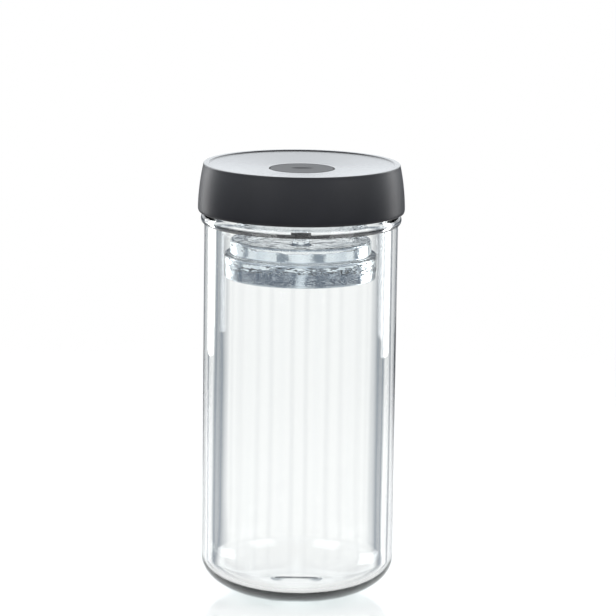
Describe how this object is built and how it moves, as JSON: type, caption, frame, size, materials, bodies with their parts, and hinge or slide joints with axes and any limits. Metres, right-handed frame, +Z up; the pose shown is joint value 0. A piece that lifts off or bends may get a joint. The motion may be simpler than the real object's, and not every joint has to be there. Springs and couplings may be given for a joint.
{
  "type": "fermentation jar",
  "caption": "Clear glass fermentation jar with a black screw lid, a gas valve in the middle of the lid and a glass weight held by its knob below the lid.",
  "frame": {"origin": "on the jar's axis, in the plane of the foot that it stands on", "axes": "+Z up along the jar's axis, -Y towards the viewer of the picture, +X to the viewer's right"},
  "size_m": [0.1068, 0.1068, 0.2272],
  "materials": {
    "jar_glass": "clear, fire-polished",
    "weight_glass": "clear, pressed",
    "lid_black": "satin",
    "liner_black": "satin",
    "cap_black": "fine matt texture",
    "silicone_grey": "matt"
  },
  "bodies": {
    "jar": {"jar_glass": "jar_glass"},
    "holder": {"weight_holder": "silicone_grey"},
    "lid": {"lid_cover": "lid_black", "lid_liner": "liner_black", "lid_gasket": "silicone_grey"},
    "cap": {"valve_cap": "cap_black"},
    "membrane": {"valve_membrane": "silicone_grey"},
    "weight": {"glass_weight": "weight_glass"}
  },
  "joints": [
    {"name": "lid_rise", "type": "slide", "parent": "jar", "child": "holder", "axis": [0, 0, 1], "range_m": [0, 0.018]},
    {"name": "lid_turn", "type": "hinge", "parent": "holder", "child": "lid", "pos_m": [0, 0, 0.21], "axis": [0, 0, 1], "range_deg": [0, 540]},
    {"name": "weight_drop", "type": "slide", "parent": "holder", "child": "weight", "axis": [0, 0, 1], "range_m": [-0.158, 0]},
    {"name": "cap_lift", "type": "slide", "parent": "lid", "child": "cap", "axis": [0, 0, 1], "range_m": [0, 0.006]},
    {"name": "valve_open", "type": "slide", "parent": "lid", "child": "membrane", "axis": [0, 0, 1], "range_m": [0, 0.0006], "stiffness_N_per_m": 100, "springref_m": -0.001}
  ],
  "couplings": [
    {"joint": "lid_rise", "follows": "lid_turn", "m_per_rad": 0.0019099}
  ]
}
